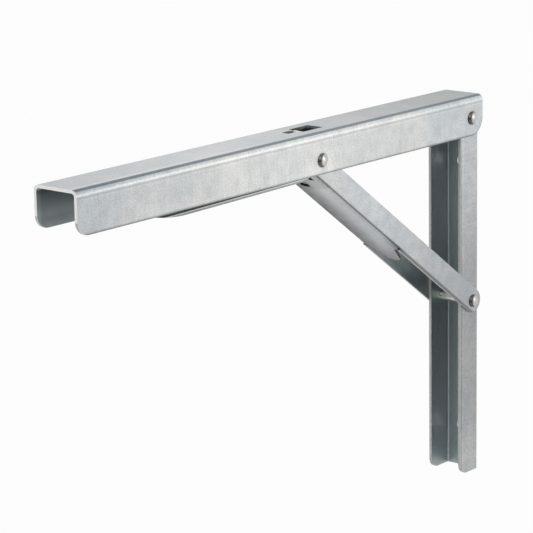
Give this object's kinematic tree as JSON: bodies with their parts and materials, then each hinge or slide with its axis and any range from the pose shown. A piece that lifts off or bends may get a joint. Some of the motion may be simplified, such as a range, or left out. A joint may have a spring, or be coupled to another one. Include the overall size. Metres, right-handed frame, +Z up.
{
  "type": "folding shelf bracket",
  "caption": "Folding shelf bracket of bent sheet steel: an arm hinged on a wall leg and propped by a slotted strut that a long release lever frees.",
  "frame": {"origin": "middle between the two wall screw holes, on the wall leg's back face", "axes": "+Y into the wall, the arm reaches toward -Y, +Z up, +X along the hinge rivets"},
  "size_m": [0.03, 0.3, 0.2043],
  "materials": {
    "leg_steel": "zinc plated, satin",
    "arm_steel": "zinc plated, satin",
    "strut_steel": "zinc plated, satin",
    "rivet_steel": "bright plated",
    "lever_steel": "zinc plated, satin"
  },
  "bodies": {
    "wall": {"wall_channel": "leg_steel", "hinge_rivet": "rivet_steel", "foot_rivet": "rivet_steel", "spacer_near": "rivet_steel", "spacer_far": "rivet_steel"},
    "arm": {"shelf_channel": "arm_steel", "stop_rivet": "rivet_steel"},
    "prop": {"strut": "strut_steel"},
    "lever": {"release_lever": "lever_steel"}
  },
  "joints": [
    {"name": "arm_fold", "type": "hinge", "parent": "wall", "child": "arm", "pos_m": [0, -0.0103, 0.098], "axis": [1, 0, 0], "range_deg": [0, 81]},
    {"name": "strut_fold", "type": "hinge", "parent": "wall", "child": "prop", "pos_m": [0, -0.0068, -0.0006], "axis": [1, 0, 0], "range_deg": [0, 114]},
    {"name": "lever_press", "type": "hinge", "parent": "arm", "child": "lever", "pos_m": [0, -0.1327, 0.0956], "axis": [1, 0, 0], "range_deg": [-3, 0]}
  ],
  "couplings": [
    {"joint": "strut_fold", "follows": "arm_fold", "ratio": 1.407}
  ]
}
